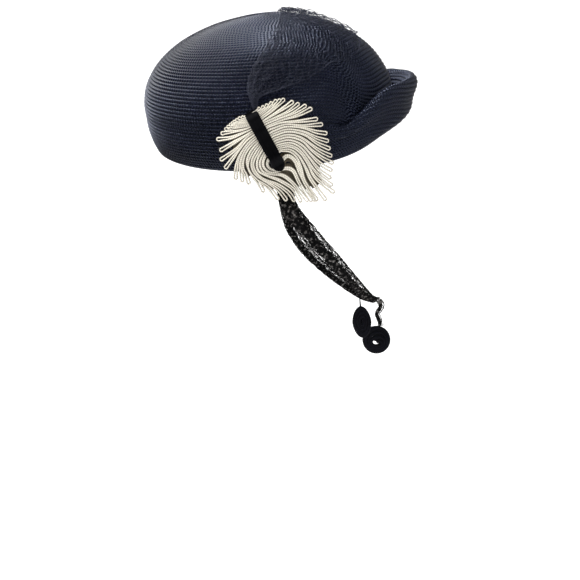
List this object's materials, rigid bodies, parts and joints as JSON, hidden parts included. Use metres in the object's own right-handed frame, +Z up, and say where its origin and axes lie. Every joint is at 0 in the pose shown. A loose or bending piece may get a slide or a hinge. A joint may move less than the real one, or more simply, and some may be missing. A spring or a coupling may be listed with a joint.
{
  "type": "tilt hat",
  "caption": "Small straw-braid tilt hat with a rolled front brim, net veil, looped-cord cockade and a net chin strap with wound coils.",
  "frame": {"origin": "the top of the wearer's head, where the crown's inner face rests on it: mount head_rest", "axes": "+X to the wearer's face, +Y to the wearer's left, +Z up, with the hat worn low over the right side"},
  "size_m": [0.1945, 0.1789, 0.2556],
  "materials": {
    "straw_braid": "very dark navy fine sewn straw braid, softly glossy",
    "veil_net": "dark blue-grey fine net",
    "ivory_cord": "ivory soutache cord, matt with a soft sheen",
    "black_velvet": "black velvet ribbon",
    "black_net_tape": "black net tape, gathered along its length",
    "wound_velvet_cord": "black velvet cord, wound and sewn flat"
  },
  "bodies": {
    "root": {"straw_crown": "straw_braid", "veil": "veil_net", "cockade": "ivory_cord", "velvet_ribbon": "black_velvet", "chin_strap": "black_net_tape", "tape_end": "black_net_tape", "round_coil": "wound_velvet_cord", "leaf_coil": "wound_velvet_cord"}
  },
  "joints": []
}
